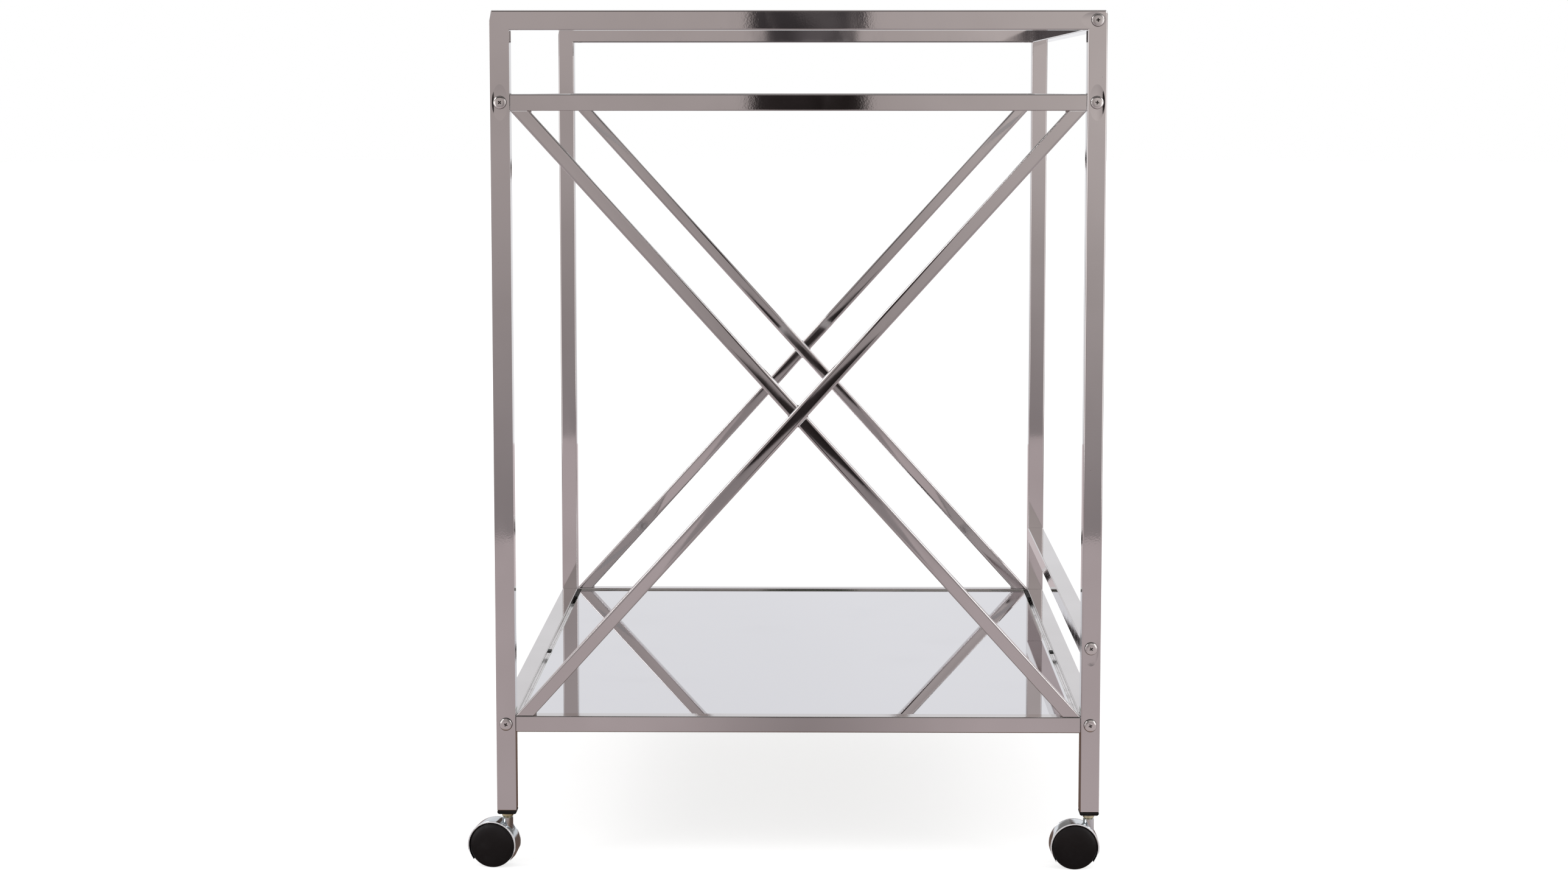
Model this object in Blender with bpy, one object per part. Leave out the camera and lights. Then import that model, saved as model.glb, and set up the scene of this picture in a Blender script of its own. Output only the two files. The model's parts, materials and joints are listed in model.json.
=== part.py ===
"""Bar cart: a chromed square-tube frame, two inset mirror shelves and four hooded twin-wheel casters.

Metres, +Z up. X runs along the cart's length, -Y is its open front and +Y its railed back.
The origin is on the floor, under the middle of the whole cart's box.
"""

import math

import bmesh
import bpy
from mathutils import Matrix

# Overall sizes of the frame
HEIGHT = 0.845
LENGTH = 0.785
DEPTH = 0.596

# Tubes
TUBE = 0.019  # side of the legs and top rails, and width of every long rail
RAIL = 0.016  # side of the cross rails, and height of the shelf and guard rails
WALL = 0.0012
BRACE_FOOT = 0.0178  # length of a brace's slanted end along its rail
BRACE_THICKNESS = 0.013
GAP = 0.0003  # room between pieces that touch
MITRE_DROP = GAP * math.sqrt(2)

# Heights of the rails' centre lines, and of the legs' open ends
UPPER_Z = 0.7565
LOWER_Z = 0.145
GUARD_Z = 0.222
TOP_Z = HEIGHT - TUBE / 2
LEG_FOOT_Z = 0.058

# Shelves: a mirror pane on a ledge that is welded inside each long shelf rail
PANE_THICKNESS = 0.005
PANE_DROP = 0.002  # pane surface below the rails' tops
PANE_SIDE_GAP = 0.004  # room for the rubber spacers
PANE_END_GAP = 0.0015
LEDGE_WIDTH = 0.012
LEDGE_THICKNESS = 0.002

# Bolts and the threaded plugs that close the long rails' ends
BOLT_HEAD_RADIUS = 0.0064
BOLT_HEAD_HEIGHT = 0.0021
BOLT_RADIUS = 0.003
BOLT_LENGTH = 0.030
BOLT_HOLE_RADIUS = 0.0034
RAIL_PLUG_DEPTH = 0.0125

# Plastic plugs in the feet
PLUG_FLANGE = 0.0037
PLUG_CHAMFER = 0.0012
PLUG_SPIGOT = 0.022
PLUG_PLAY = 0.0003
SOCKET_RADIUS = 0.0045

# Casters
WHEEL_RADIUS = 0.0225
WHEEL_INNER_X = 0.0020
WHEEL_OUTER_X = 0.0115
WHEEL_BORE = 0.0028
AXLE_RADIUS = 0.0024
AXLE_HALF = 0.0098
AXLE_HOLE = 0.0028
TRAIL = 0.014
HOOD_RADIUS = 0.0243
HOOD_POCKET = 0.0230
HOOD_TIP_RADIUS = 0.0237
HOOD_HALF = 0.0118
HOOD_WEB_HALF = 0.0015
HOOD_ARC_END = math.radians(10)  # how far the round of the hood runs below the axle
HOOD_TIP_ANGLE = math.radians(38)  # where the slanted ends of the hood finish
HOOD_ARC_STEPS = 20
POST_RADIUS = 0.0053
POST_TOP = 0.0500
POST_BASE = 0.0300
COLLAR_RADIUS = 0.0056
COLLAR_TOP = 0.0537
PIN_RADIUS = 0.0040
PIN_TOP = 0.0780
SPIGOT_RADIUS = 0.0030
SPIGOT_BASE = 0.0440
SPIGOT_HOLE = 0.0034
SPIGOT_HOLE_BASE = 0.0425
FRONT_YAW = math.radians(8)  # the free front casters rest turned a little inwards

FINE_STEPS = 24
COARSE_STEPS = 12

# Derived places
HALF_LENGTH = LENGTH / 2
HALF_DEPTH = DEPTH / 2
INNER_Y = HALF_DEPTH - TUBE
LEG_X = HALF_LENGTH - TUBE / 2
LEG_Y = HALF_DEPTH - TUBE / 2
RAIL_END_X = HALF_LENGTH - TUBE - GAP
HOOD_REACH = (TRAIL + HOOD_RADIUS) * math.cos(FRONT_YAW) + HOOD_HALF * math.sin(FRONT_YAW)
CENTRE_SHIFT_Y = (HOOD_REACH - TUBE / 2) / 2  # the front casters reach past the front legs


def make_material(name, colour, roughness, metallic):
    material = bpy.data.materials.new(name)
    material.use_nodes = True
    shader = material.node_tree.nodes["Principled BSDF"]
    shader.inputs["Base Color"].default_value = (*colour, 1.0)
    shader.inputs["Roughness"].default_value = roughness
    shader.inputs["Metallic"].default_value = metallic
    return material


def make_materials():
    return {
        "chrome": make_material("chrome", (0.62, 0.60, 0.59), 0.08, 1.0),
        "mirror": make_material("mirror", (0.82, 0.84, 0.84), 0.02, 1.0),
        "plastic": make_material("plastic", (0.015, 0.015, 0.016), 0.45, 0.0),
        "zinc": make_material("zinc", (0.62, 0.58, 0.42), 0.30, 1.0),
        "steel": make_material("steel", (0.55, 0.55, 0.56), 0.25, 1.0),
    }


def make_empty(name, parent=None, location=(0, 0, 0), yaw=0.0):
    empty = bpy.data.objects.new(name, None)
    bpy.context.scene.collection.objects.link(empty)
    empty.parent = parent
    empty.location = location
    empty.rotation_euler = (0, 0, yaw)
    return empty


def make_object(name, bm, parent, material=None, smooth=False):
    """Turns the bmesh into an object under its parent, with its faces pointing out."""
    bmesh.ops.recalc_face_normals(bm, faces=bm.faces)
    mesh = bpy.data.meshes.new(name)
    bm.to_mesh(mesh)
    bm.free()
    if smooth:
        mesh.shade_smooth()
        mesh.set_sharp_from_angle(angle=math.radians(35))
    obj = bpy.data.objects.new(name, mesh)
    bpy.context.scene.collection.objects.link(obj)
    obj.parent = parent
    if material:
        mesh.materials.append(material)
    return obj


def prism(outline, low, high):
    """A bmesh of a YZ outline extruded along X from low to high."""
    bm = bmesh.new()
    face = bm.faces.new([bm.verts.new((low, y, z)) for y, z in outline])
    made = bmesh.ops.extrude_face_region(bm, geom=[face])["geom"]
    moved = [item for item in made if isinstance(item, bmesh.types.BMVert)]
    bmesh.ops.translate(bm, vec=(high - low, 0, 0), verts=moved)
    return bm


def turned(profile, steps):
    """A bmesh of a profile of (radius, height) points spun about local Z, from axis to axis."""
    bm = bmesh.new()
    verts = [bm.verts.new((radius, 0, height)) for radius, height in profile]
    edges = [bm.edges.new(pair) for pair in zip(verts, verts[1:])]
    bmesh.ops.spin(
        bm, geom=verts + edges, axis=(0, 0, 1), cent=(0, 0, 0), steps=steps, angle=math.tau, use_merge=True
    )
    bmesh.ops.remove_doubles(bm, verts=bm.verts, dist=1e-6)
    return bm


def stacked_squares(sections):
    """A bmesh that joins squares of (half side, height), closed at both ends."""
    corners = ((-1, -1), (1, -1), (1, 1), (-1, 1))
    bm = bmesh.new()
    loops = [[bm.verts.new((x * half, y * half, z)) for x, y in corners] for half, z in sections]
    bm.faces.new(loops[0])
    bm.faces.new(loops[-1])
    for below, above in zip(loops, loops[1:]):
        for i in range(4):
            j = (i + 1) % 4
            bm.faces.new((below[i], below[j], above[j], above[i]))
    return bm


def rectangle(y_low, y_high, z_low, z_high):
    return [(y_low, z_low), (y_high, z_low), (y_high, z_high), (y_low, z_high)]


def boolean(target, operation, bm, matrix=None):
    """Cuts the bmesh from the target, or joins it on, with a helper that isn't rendered."""
    helper = make_object(f"{target.name}_helper", bm, target.parent)
    if matrix:
        helper.matrix_local = matrix
    helper.hide_render = True
    helper.display_type = "WIRE"
    modifier = target.modifiers.new(operation.lower(), "BOOLEAN")
    modifier.operation = operation
    modifier.solver = "EXACT"
    modifier.object = helper


def rod(radius, low, high, steps=COARSE_STEPS):
    return turned([(0, low), (radius, low), (radius, high), (0, high)], steps)


def along_x(x=0.0, y=0.0, z=0.0):
    """Turns local Z to +X and moves the piece to the point."""
    return Matrix.Translation((x, y, z)) @ Matrix.Rotation(math.pi / 2, 4, "Y")


def drill_x(target, y, z, x=0.0, length=TUBE, radius=BOLT_HOLE_RADIUS):
    """Drills a round hole along X, centred on x and longer than the wall that it passes."""
    boolean(target, "DIFFERENCE", rod(radius, -length, length), along_x(x, y, z))


def end_tube(name, cart, material, end, outline, bore, width):
    """A tube of one end frame: a YZ outline as wide as the tube, with its bore cut through."""
    centre = end * LEG_X
    tube = make_object(name, prism(outline, centre - width / 2, centre + width / 2), cart, material)
    half_bore = width / 2 - WALL
    boolean(tube, "DIFFERENCE", prism(bore, centre - half_bore, centre + half_bore))
    return tube


def bolt_points():
    """The (y, z) of the bolts in each end frame, by the name of the long rail that they hold."""
    return {
        "front_upper_rail": (-LEG_Y, UPPER_Z),
        "front_lower_rail": (-LEG_Y, LOWER_Z),
        "back_top_rail": (LEG_Y, TOP_Z),
        "back_upper_rail": (LEG_Y, UPPER_Z),
        "back_guard_rail": (LEG_Y, GUARD_Z),
        "back_lower_rail": (LEG_Y, LOWER_Z),
    }


def make_legs(cart, chrome, end, side):
    for facing, sign in (("front", -1), ("back", 1)):
        outer = sign * HALF_DEPTH
        inner = sign * INNER_Y
        top = HEIGHT - MITRE_DROP
        outline = [(outer, LEG_FOOT_Z), (inner, LEG_FOOT_Z), (inner, top - TUBE), (outer, top)]
        bore = rectangle(outer - sign * WALL, inner + sign * WALL, LEG_FOOT_Z - TUBE, HEIGHT + TUBE)
        leg = end_tube(f"{facing}_leg_{side}", cart, chrome, end, outline, bore, TUBE)
        for y, z in bolt_points().values():
            if y * sign > 0:
                drill_x(leg, y, z, x=end * LEG_X)


def make_top_rail(cart, chrome, end, side):
    outline = [
        (-HALF_DEPTH, HEIGHT),
        (HALF_DEPTH, HEIGHT),
        (INNER_Y, HEIGHT - TUBE),
        (-INNER_Y, HEIGHT - TUBE),
    ]
    bore = rectangle(-DEPTH, DEPTH, HEIGHT - TUBE + WALL, HEIGHT - WALL)
    rail = end_tube(f"top_rail_{side}", cart, chrome, end, outline, bore, TUBE)
    drill_x(rail, LEG_Y, TOP_Z, x=end * LEG_X)


def make_cross_rails(cart, chrome, end, side):
    for level, z in (("upper", UPPER_Z), ("lower", LOWER_Z)):
        outline = rectangle(-INNER_Y + GAP, INNER_Y - GAP, z - RAIL / 2, z + RAIL / 2)
        bore = rectangle(-DEPTH, DEPTH, z - RAIL / 2 + WALL, z + RAIL / 2 - WALL)
        end_tube(f"{level}_cross_rail_{side}", cart, chrome, end, outline, bore, RAIL)


def meet(line_a, line_b):
    """Where two lines of the YZ plane cross, each given by two points."""
    (ay, az), (by, bz) = line_a
    (cy, cz), (dy, dz) = line_b
    across = (by - ay) * (dz - cz) - (bz - az) * (dy - cy)
    along = ((cy - ay) * (dz - cz) - (cz - az) * (dy - cy)) / across
    return (ay + along * (by - ay), az + along * (bz - az))


def widened(line, amount):
    """The line of the YZ plane moved sideways along Y."""
    return [(y + amount, z) for y, z in line]


def make_braces(cart, chrome, end, side):
    """One brace runs whole from corner to corner, and the other is welded to it in two halves.

    Each end frame turns the same face outwards, so at the left end the whole brace leans the other way.
    """
    low = LOWER_Z + RAIL / 2 + GAP
    high = UPPER_Z - RAIL / 2 - GAP
    reach = INNER_Y - GAP
    front_edge = [(-reach, low), (reach - BRACE_FOOT, high)]
    back_edge = [(-reach + BRACE_FOOT, low), (reach, high)]
    other_front = [(-y, z) for y, z in back_edge]
    other_back = [(-y, z) for y, z in front_edge]
    weld_gap = 2 * GAP  # measured along Y, so the slanted gap itself is narrower
    above = widened(front_edge, -weld_gap)
    below = widened(back_edge, weld_gap)
    quads = {
        "brace": [front_edge[0], back_edge[0], back_edge[1], front_edge[1]],
        "brace_upper_half": [
            meet(other_front, above), meet(other_back, above), other_back[1], other_front[1]
        ],
        "brace_lower_half": [
            other_front[0], other_back[0], meet(other_back, below), meet(other_front, below)
        ],
    }
    run = high - low
    slant = math.hypot(2 * reach - BRACE_FOOT, run)
    wall_along_y = WALL * slant / run
    for name, outline in quads.items():
        edges = (front_edge, back_edge) if name == "brace" else (other_front, other_back)
        near = stretched(widened(edges[0], wall_along_y))
        far = stretched(widened(edges[1], -wall_along_y))
        outline = [(end * y, z) for y, z in outline]
        bore = [(end * y, z) for y, z in (near[0], far[0], far[1], near[1])]
        end_tube(f"{name}_{side}", cart, chrome, end, outline, bore, BRACE_THICKNESS)


def stretched(line, share=0.1):
    """The line run past both of its ends by a share of its length."""
    (ay, az), (by, bz) = line
    step_y = (by - ay) * share
    step_z = (bz - az) * share
    return [(ay - step_y, az - step_z), (by + step_y, bz + step_z)]


def shelf_rail_outline(sign, z):
    """The section of a long shelf rail, with the ledge that carries the pane."""
    outer = sign * HALF_DEPTH
    inner = sign * INNER_Y
    tip = inner - sign * LEDGE_WIDTH
    bottom = z - RAIL / 2
    top = z + RAIL / 2
    ledge_top = top - PANE_DROP - PANE_THICKNESS - GAP
    ledge_bottom = ledge_top - LEDGE_THICKNESS
    return [
        (outer, bottom), (inner, bottom), (inner, ledge_bottom), (tip, ledge_bottom),
        (tip, ledge_top), (inner, ledge_top), (inner, top), (outer, top),
    ]


def make_long_rails(cart, chrome):
    """The six rails that the bolts hold between the end frames."""
    for name, (y, z) in bolt_points().items():
        height = TUBE if name == "back_top_rail" else RAIL
        sign = math.copysign(1, y)
        if "upper" in name or "lower" in name:
            outline = shelf_rail_outline(sign, z)
        else:
            outline = rectangle(y - TUBE / 2, y + TUBE / 2, z - height / 2, z + height / 2)
        rail = make_object(name, prism(outline, -RAIL_END_X, RAIL_END_X), cart, chrome)
        bore_y = TUBE / 2 - WALL
        bore_z = height / 2 - WALL
        bore = rectangle(y - bore_y, y + bore_y, z - bore_z, z + bore_z)
        bore_x = RAIL_END_X - RAIL_PLUG_DEPTH
        boolean(rail, "DIFFERENCE", prism(bore, -bore_x, bore_x))
        drill_x(rail, y, z, length=LENGTH / 2)


def make_shelves(cart, mirror):
    half_x = HALF_LENGTH - TUBE / 2 - RAIL / 2 - PANE_END_GAP
    half_y = INNER_Y - PANE_SIDE_GAP
    for level, z in (("upper", UPPER_Z), ("lower", LOWER_Z)):
        top = z + RAIL / 2 - PANE_DROP
        outline = rectangle(-half_y, half_y, top - PANE_THICKNESS, top)
        make_object(f"{level}_mirror_shelf", prism(outline, -half_x, half_x), cart, mirror)


def bolt_profile():
    """A pan head with a rounded rim on a plain shank. Height 0 is the leg's face."""
    radius = BOLT_HEAD_RADIUS
    return [
        (0, BOLT_HEAD_HEIGHT),
        (radius * 0.72, BOLT_HEAD_HEIGHT * 0.92),
        (radius * 0.94, BOLT_HEAD_HEIGHT * 0.62),
        (radius, BOLT_HEAD_HEIGHT * 0.25),
        (radius, GAP),
        (BOLT_RADIUS, GAP),
        (BOLT_RADIUS, -BOLT_LENGTH),
        (0, -BOLT_LENGTH),
    ]


def make_bolts(cart, steel, end, side):
    for name, (y, z) in bolt_points().items():
        bolt = make_object(
            f"bolt_{name}_{side}", turned(bolt_profile(), COARSE_STEPS), cart, steel, smooth=True
        )
        bolt.location = (end * HALF_LENGTH, y, z)
        bolt.rotation_euler = (0, end * math.pi / 2, 0)


def make_foot_plug(cart, plastic, name, x, y):
    """The plastic plug in a leg's foot, bored for the caster's stem."""
    half = TUBE / 2
    inside = half - WALL - PLUG_PLAY
    flange_top = LEG_FOOT_Z - GAP
    flange_bottom = flange_top - PLUG_FLANGE
    sections = [
        (half - PLUG_CHAMFER, flange_bottom),
        (half, flange_bottom + PLUG_CHAMFER),
        (half, flange_top),
        (inside, flange_top),
        (inside, flange_top + PLUG_SPIGOT),
    ]
    plug = make_object(f"foot_plug_{name}", stacked_squares(sections), cart, plastic)
    plug.location = (x, y, 0)
    bore = rod(SOCKET_RADIUS, 0, 2 * LEG_FOOT_Z)
    boolean(plug, "DIFFERENCE", bore, Matrix.Translation((x, y, 0)))


def hood_outline():
    """The YZ outline of a caster's hood about its axle: a round top, slanted ends and a flat foot."""
    points = []
    sweep = math.pi + 2 * HOOD_ARC_END
    for step in range(HOOD_ARC_STEPS + 1):
        angle = -HOOD_ARC_END + sweep * step / HOOD_ARC_STEPS
        points.append((HOOD_RADIUS * math.cos(angle), WHEEL_RADIUS + HOOD_RADIUS * math.sin(angle)))
    tip_y = HOOD_TIP_RADIUS * math.cos(HOOD_TIP_ANGLE)
    tip_z = WHEEL_RADIUS - HOOD_TIP_RADIUS * math.sin(HOOD_TIP_ANGLE)
    points.append((-tip_y, tip_z))
    points.append((tip_y, tip_z))
    return [(y - TRAIL, z) for y, z in points]


def make_hood(caster, chrome, name):
    hood = make_object(f"hood_{name}", prism(hood_outline(), -HOOD_HALF, HOOD_HALF), caster, chrome, True)
    boolean(hood, "UNION", rod(POST_RADIUS, POST_BASE, POST_TOP, FINE_STEPS))
    for sign in (-1, 1):
        middle = sign * (HOOD_WEB_HALF + HOOD_HALF)
        pocket = rod(HOOD_POCKET, -HOOD_HALF, HOOD_HALF, 2 * HOOD_ARC_STEPS)
        boolean(hood, "DIFFERENCE", pocket, along_x(middle, -TRAIL, WHEEL_RADIUS))
    drill_x(hood, -TRAIL, WHEEL_RADIUS, radius=AXLE_HOLE)
    boolean(hood, "DIFFERENCE", rod(SPIGOT_HOLE, SPIGOT_HOLE_BASE, HEIGHT))


def make_stem(caster, zinc, name):
    profile = [
        (0, PIN_TOP),
        (PIN_RADIUS * 0.7, PIN_TOP),
        (PIN_RADIUS, PIN_TOP - 0.001),
        (PIN_RADIUS, COLLAR_TOP),
        (COLLAR_RADIUS, COLLAR_TOP),
        (COLLAR_RADIUS, POST_TOP + GAP),
        (SPIGOT_RADIUS, POST_TOP + GAP),
        (SPIGOT_RADIUS, SPIGOT_BASE),
        (0, SPIGOT_BASE),
    ]
    make_object(f"stem_{name}", turned(profile, COARSE_STEPS), caster, zinc, True)


def make_axle(caster, steel, name):
    axle = make_object(f"axle_{name}", rod(AXLE_RADIUS, -AXLE_HALF, AXLE_HALF), caster, steel, True)
    axle.matrix_local = along_x(0, -TRAIL, WHEEL_RADIUS)


def wheel_profile():
    """Half a caster wheel: a blind bore, a flat back, a rounded tread and a low domed face."""
    tread = WHEEL_RADIUS
    face = WHEEL_OUTER_X
    return [
        (0, AXLE_HALF + GAP),
        (WHEEL_BORE, AXLE_HALF + GAP),
        (WHEEL_BORE, WHEEL_INNER_X),
        (tread - 0.0006, WHEEL_INNER_X),
        (tread, WHEEL_INNER_X + 0.0006),
        (tread, face - 0.0014),
        (tread - 0.0006, face - 0.0006),
        (tread - 0.0020, face - 0.0002),
        (0, face),
    ]


def make_wheels(caster, plastic, name):
    for which, sign in (("right", 1), ("left", -1)):
        wheel = make_object(
            f"wheel_{which}_{name}", turned(wheel_profile(), FINE_STEPS), caster, plastic, smooth=True
        )
        wheel.location = (0, -TRAIL, WHEEL_RADIUS)
        wheel.rotation_euler = (0, sign * math.pi / 2, 0)


def make_caster(cart, materials, name, x, y, yaw):
    """A caster under its own empty, which stands on the swivel's axis."""
    make_foot_plug(cart, materials["plastic"], name, x, y)
    caster = make_empty(f"caster_{name}", cart, (x, y, 0), yaw)
    make_hood(caster, materials["chrome"], name)
    make_stem(caster, materials["zinc"], name)
    make_axle(caster, materials["steel"], name)
    make_wheels(caster, materials["plastic"], name)


def make_end(cart, materials, end, side):
    """Everything that belongs to one end of the cart. The right end is at +X."""
    chrome = materials["chrome"]
    make_legs(cart, chrome, end, side)
    make_top_rail(cart, chrome, end, side)
    make_cross_rails(cart, chrome, end, side)
    make_braces(cart, chrome, end, side)
    make_bolts(cart, materials["steel"], end, side)
    make_caster(cart, materials, f"front_{side}", end * LEG_X, -LEG_Y, -end * FRONT_YAW)
    make_caster(cart, materials, f"back_{side}", end * LEG_X, LEG_Y, 0.0)


def main():
    for obj in list(bpy.data.objects):
        bpy.data.objects.remove(obj, do_unlink=True)
    materials = make_materials()
    cart = make_empty("cart", location=(0, CENTRE_SHIFT_Y, 0))
    for side, end in (("right", 1), ("left", -1)):
        make_end(cart, materials, end, side)
    make_long_rails(cart, materials["chrome"])
    make_shelves(cart, materials["mirror"])


main()
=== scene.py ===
"""The looks of the bar cart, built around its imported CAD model.

Metres, +Z up, in the CAD model's own frame: +X runs to the right end, -Y is the open front.
"""

import json
import math

import bmesh
import bpy
from mathutils import Matrix, Vector
from mathutils.geometry import intersect_line_line_2d


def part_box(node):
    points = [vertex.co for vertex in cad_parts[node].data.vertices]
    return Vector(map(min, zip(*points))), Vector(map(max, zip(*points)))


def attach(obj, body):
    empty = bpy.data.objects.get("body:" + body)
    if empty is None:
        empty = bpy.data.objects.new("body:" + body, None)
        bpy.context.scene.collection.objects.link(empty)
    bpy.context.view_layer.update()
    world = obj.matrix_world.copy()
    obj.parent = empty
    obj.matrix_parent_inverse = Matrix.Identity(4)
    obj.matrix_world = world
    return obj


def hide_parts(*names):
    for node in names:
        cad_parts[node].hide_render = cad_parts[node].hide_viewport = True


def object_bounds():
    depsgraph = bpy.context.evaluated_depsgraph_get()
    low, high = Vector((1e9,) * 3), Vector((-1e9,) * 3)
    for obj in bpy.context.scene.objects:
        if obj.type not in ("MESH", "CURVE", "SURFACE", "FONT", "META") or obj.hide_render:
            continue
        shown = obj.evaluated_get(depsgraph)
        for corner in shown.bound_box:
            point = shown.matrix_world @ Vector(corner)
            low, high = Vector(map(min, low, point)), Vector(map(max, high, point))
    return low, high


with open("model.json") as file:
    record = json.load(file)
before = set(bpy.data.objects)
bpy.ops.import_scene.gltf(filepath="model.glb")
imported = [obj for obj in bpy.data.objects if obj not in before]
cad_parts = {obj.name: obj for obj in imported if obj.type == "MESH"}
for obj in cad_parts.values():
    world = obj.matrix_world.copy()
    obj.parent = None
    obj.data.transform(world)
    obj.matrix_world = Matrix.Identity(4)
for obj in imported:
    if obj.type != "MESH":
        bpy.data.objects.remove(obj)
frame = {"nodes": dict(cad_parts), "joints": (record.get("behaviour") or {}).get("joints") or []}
cad_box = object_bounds()

SIDES = (("right", 1), ("left", -1))
FACINGS = (("front", -1), ("back", 1))
LEVELS = ("upper", "lower")
QUARTER = math.pi / 2
SHARP_EDGE = math.radians(30)  # an edge bent by more than this gets rounded
SAME_PLACE = 1e-6
SLIVER_WIDTH = 2e-6  # faces thinner than this are cleared away

# Camera
CAMERA_PLACE = (3.3003, 0.0363, 0.768)
CAMERA_TURN = math.radians(-0.687)  # away from straight along -X
CAMERA_PITCH = math.radians(6.081)  # downwards
CAMERA_LENS_MM = 68.77
CAMERA_SHIFT_Y = -0.02

# Tubes
TUBE_ROUND = 0.0015
RAIL_ROUND = 0.0012
BRACE_ROUND = 0.0010
LEDGE_ROUND = 0.0003
END_ROUND = 0.0003
# How far in and down grinding took the end frames' top corners off
CORNER_CUTS = {"front": (0.0018, 0.0095), "back": (0.0013, 0.0040)}
CORNER_ROUND = 0.0008
LONG_EDGE = 0.05  # an edge longer than this runs along a bar
BRACE_SUNK = 0.00007  # how far the middle of a brace's face lies under its edges
BRACE_STEPS = 6
BRACE_CORNER_STEPS = 4
BRACE_FOOT = 0.0178  # length of a brace's slanted end along its rail
BRACE_GAP = 0.0003
LEDGE_THICKNESS = 0.002
LEDGE_TOP_TILT = 0.9  # the ledge's top is where the normals point up by more than this

# Plating
PIT_TONE = 0.72
PIT_ROUGHNESS = 0.2
WIPED_ROUGHNESS = 2.2  # times the roughness elsewhere
LEAN_FROM = 0.81  # the far top rail is a little twisted, above this height

# Welds
FOOT_BEAD = 0.0019
CROSSING_BEAD = 0.0008
BEAD_RINGS = 14
BEAD_SIDES = 12
BEAD_END = 0.12  # the smaller, the thinner a bead's ends
BEAD_FULLNESS = 0.3  # the smaller, the blunter its ends
BEAD_RIPPLE = 0.13
BEAD_HALF_WAVES = 7
BEAD_INSET = 0.12  # share of the tube's width by which a bead stops short of each side
BEAD_SUNK = 0.35  # share of a foot bead's radius that lies in the rail

# Shelves
GLASS_ARRIS = 0.0007
PANE_FACE_TILT = 0.98  # a pane's faces are where the normals point up or down by more than this
RUBBER_ROUND = 0.0003
RUBBER_PLAY = 0.0001
RUBBER_DROP = 0.0006  # top of the rubber below the rail's top
RUBBER_HEIGHT = 0.0018
SPACERS = ((0.037, 0.014), (-0.344, 0.052))  # middle and length along X

# Bolt heads, across as shares of their radius and upwards as shares of their height
BOLT_CROWN = ((0, 1), (0.40, 1), (0.66, 0.97), (0.76, 0.90))
BOLT_RIM = 0.16
BOLT_RIM_STRETCH = 5.25  # makes the rolled rim 0.84 of the head's height
BOLT_RIM_STEPS = 6
BOLT_SHANK = 0.47
BOLT_PAINTED_SHADE_FROM = 0.94  # painted shade for the gap under the rim starts here

# Their recesses
BOLT_TURN = math.radians(37)  # each recess stands this much further round than the last
RECESS_REACH = 0.0022
RECESS_WIDTH = 0.0011
RECESS_DEPTH = 0.0013
RECESS_TAPER = (0.55, 1.15)  # how long its arms are below and above the crown
RECESS_LIP = 0.00005  # the recess's faces lie at least this far below the crown
RECESS_MARGIN = 1.05  # and no further out than this many times its reach

# The shallow dishes that the bolts draw into the legs' walls
DISH_REACH = 0.0076  # half its size across the leg
DISH_LENGTH = 0.0175  # and along it
CORNER_DISH_LENGTH = 0.0120  # a dish at a corner lies along the top rail, and is half as long
CORNER_DISH_SHIFT = 0.0040  # and its middle is this far from the bolt, away from the corner
DISH_DEPTH = 0.0005
DISH_RINGS = 8
DISH_FLARE = 1.05  # how much wider the cutter is above the wall
DISH_RIM_ANGLE = math.radians(1)

# Casters, in a frame with its origin on the floor below the swivel and X along the axle
TRAIL = 0.014
WHEEL_RADIUS = 0.0225
HOOD_RADIUS = 0.0243
HOOD_POCKET = 0.0230
HOOD_TIP_RADIUS = 0.0237
HOOD_WEB_HALF = 0.0015
HOOD_ARC_END = math.radians(10)
HOOD_TIP_ANGLE = math.radians(38)
HOOD_RIM_START = 0.0108
HOOD_ARC_STEPS = 60
HOOD_TIP_STEPS = 6
# (x, height over the hood's radius) of half its band, with a groove and a bead at the rim
HOOD_SECTION = (
    (0.0, 0.00012), (0.0050, 0.00009), (0.0092, 0.0), (0.0100, -0.00010), (0.0102, -0.00042),
    (0.0106, -0.00048), (0.0108, -0.00018), (0.0111, 0.00002), (0.0115, -0.00004),
    (0.0118, -0.00028), (0.01185, -0.00060), (0.0118, -0.00100),
    (0.0116, HOOD_POCKET - HOOD_RADIUS),
)
POST_RADIUS = 0.0053
POST_BASE = 0.0300
POST_TOP = 0.0500
POST_EDGE = 0.0004
COLLAR_RADIUS = 0.0056
COLLAR_TOP = 0.0537
COLLAR_EDGE = 0.0004
COLLAR_FOOT = 0.0004  # gap between the post and the collar
COLLAR_CHAMFER = (0.0009, 0.0008)  # in and up
PIN_RADIUS = 0.0040
PIN_RISE = 0.012
PIN_DEPTH = 0.004
PIN_NECK_RADIUS = 0.0030
# (share of the wheel's radius, distance outwards from its inner face), from hub to tread
WHEEL_BACK = (
    (0, 0), (0.30, 0), (0.34, 0.0008), (0.80, 0.0008), (0.84, 0), (0.955, 0), (0.99, 0.0004),
    (1, 0.0012),
)
# (share of the wheel's radius, distance inwards from its outer face), from tread to hub
WHEEL_FACE = (
    (1, 0.0028), (0.995, 0.0019), (0.975, 0.0013), (0.935, 0.00085), (0.86, 0.00045),
    (0.815, 0.00028), (0.80, 0.00022), (0.55, 0.0001), (0.25, 0.00002), (0, 0),
)
WHEEL_STEPS = 96
ROUND_STEPS = 64

# Foot plugs
PLUG_ROUND = 0.0006
PLUG_CHAMFER = ((0.0013, 0), (0.0003, 0.0012), (0, 0.0017))  # in from the side, up from the bottom

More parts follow.
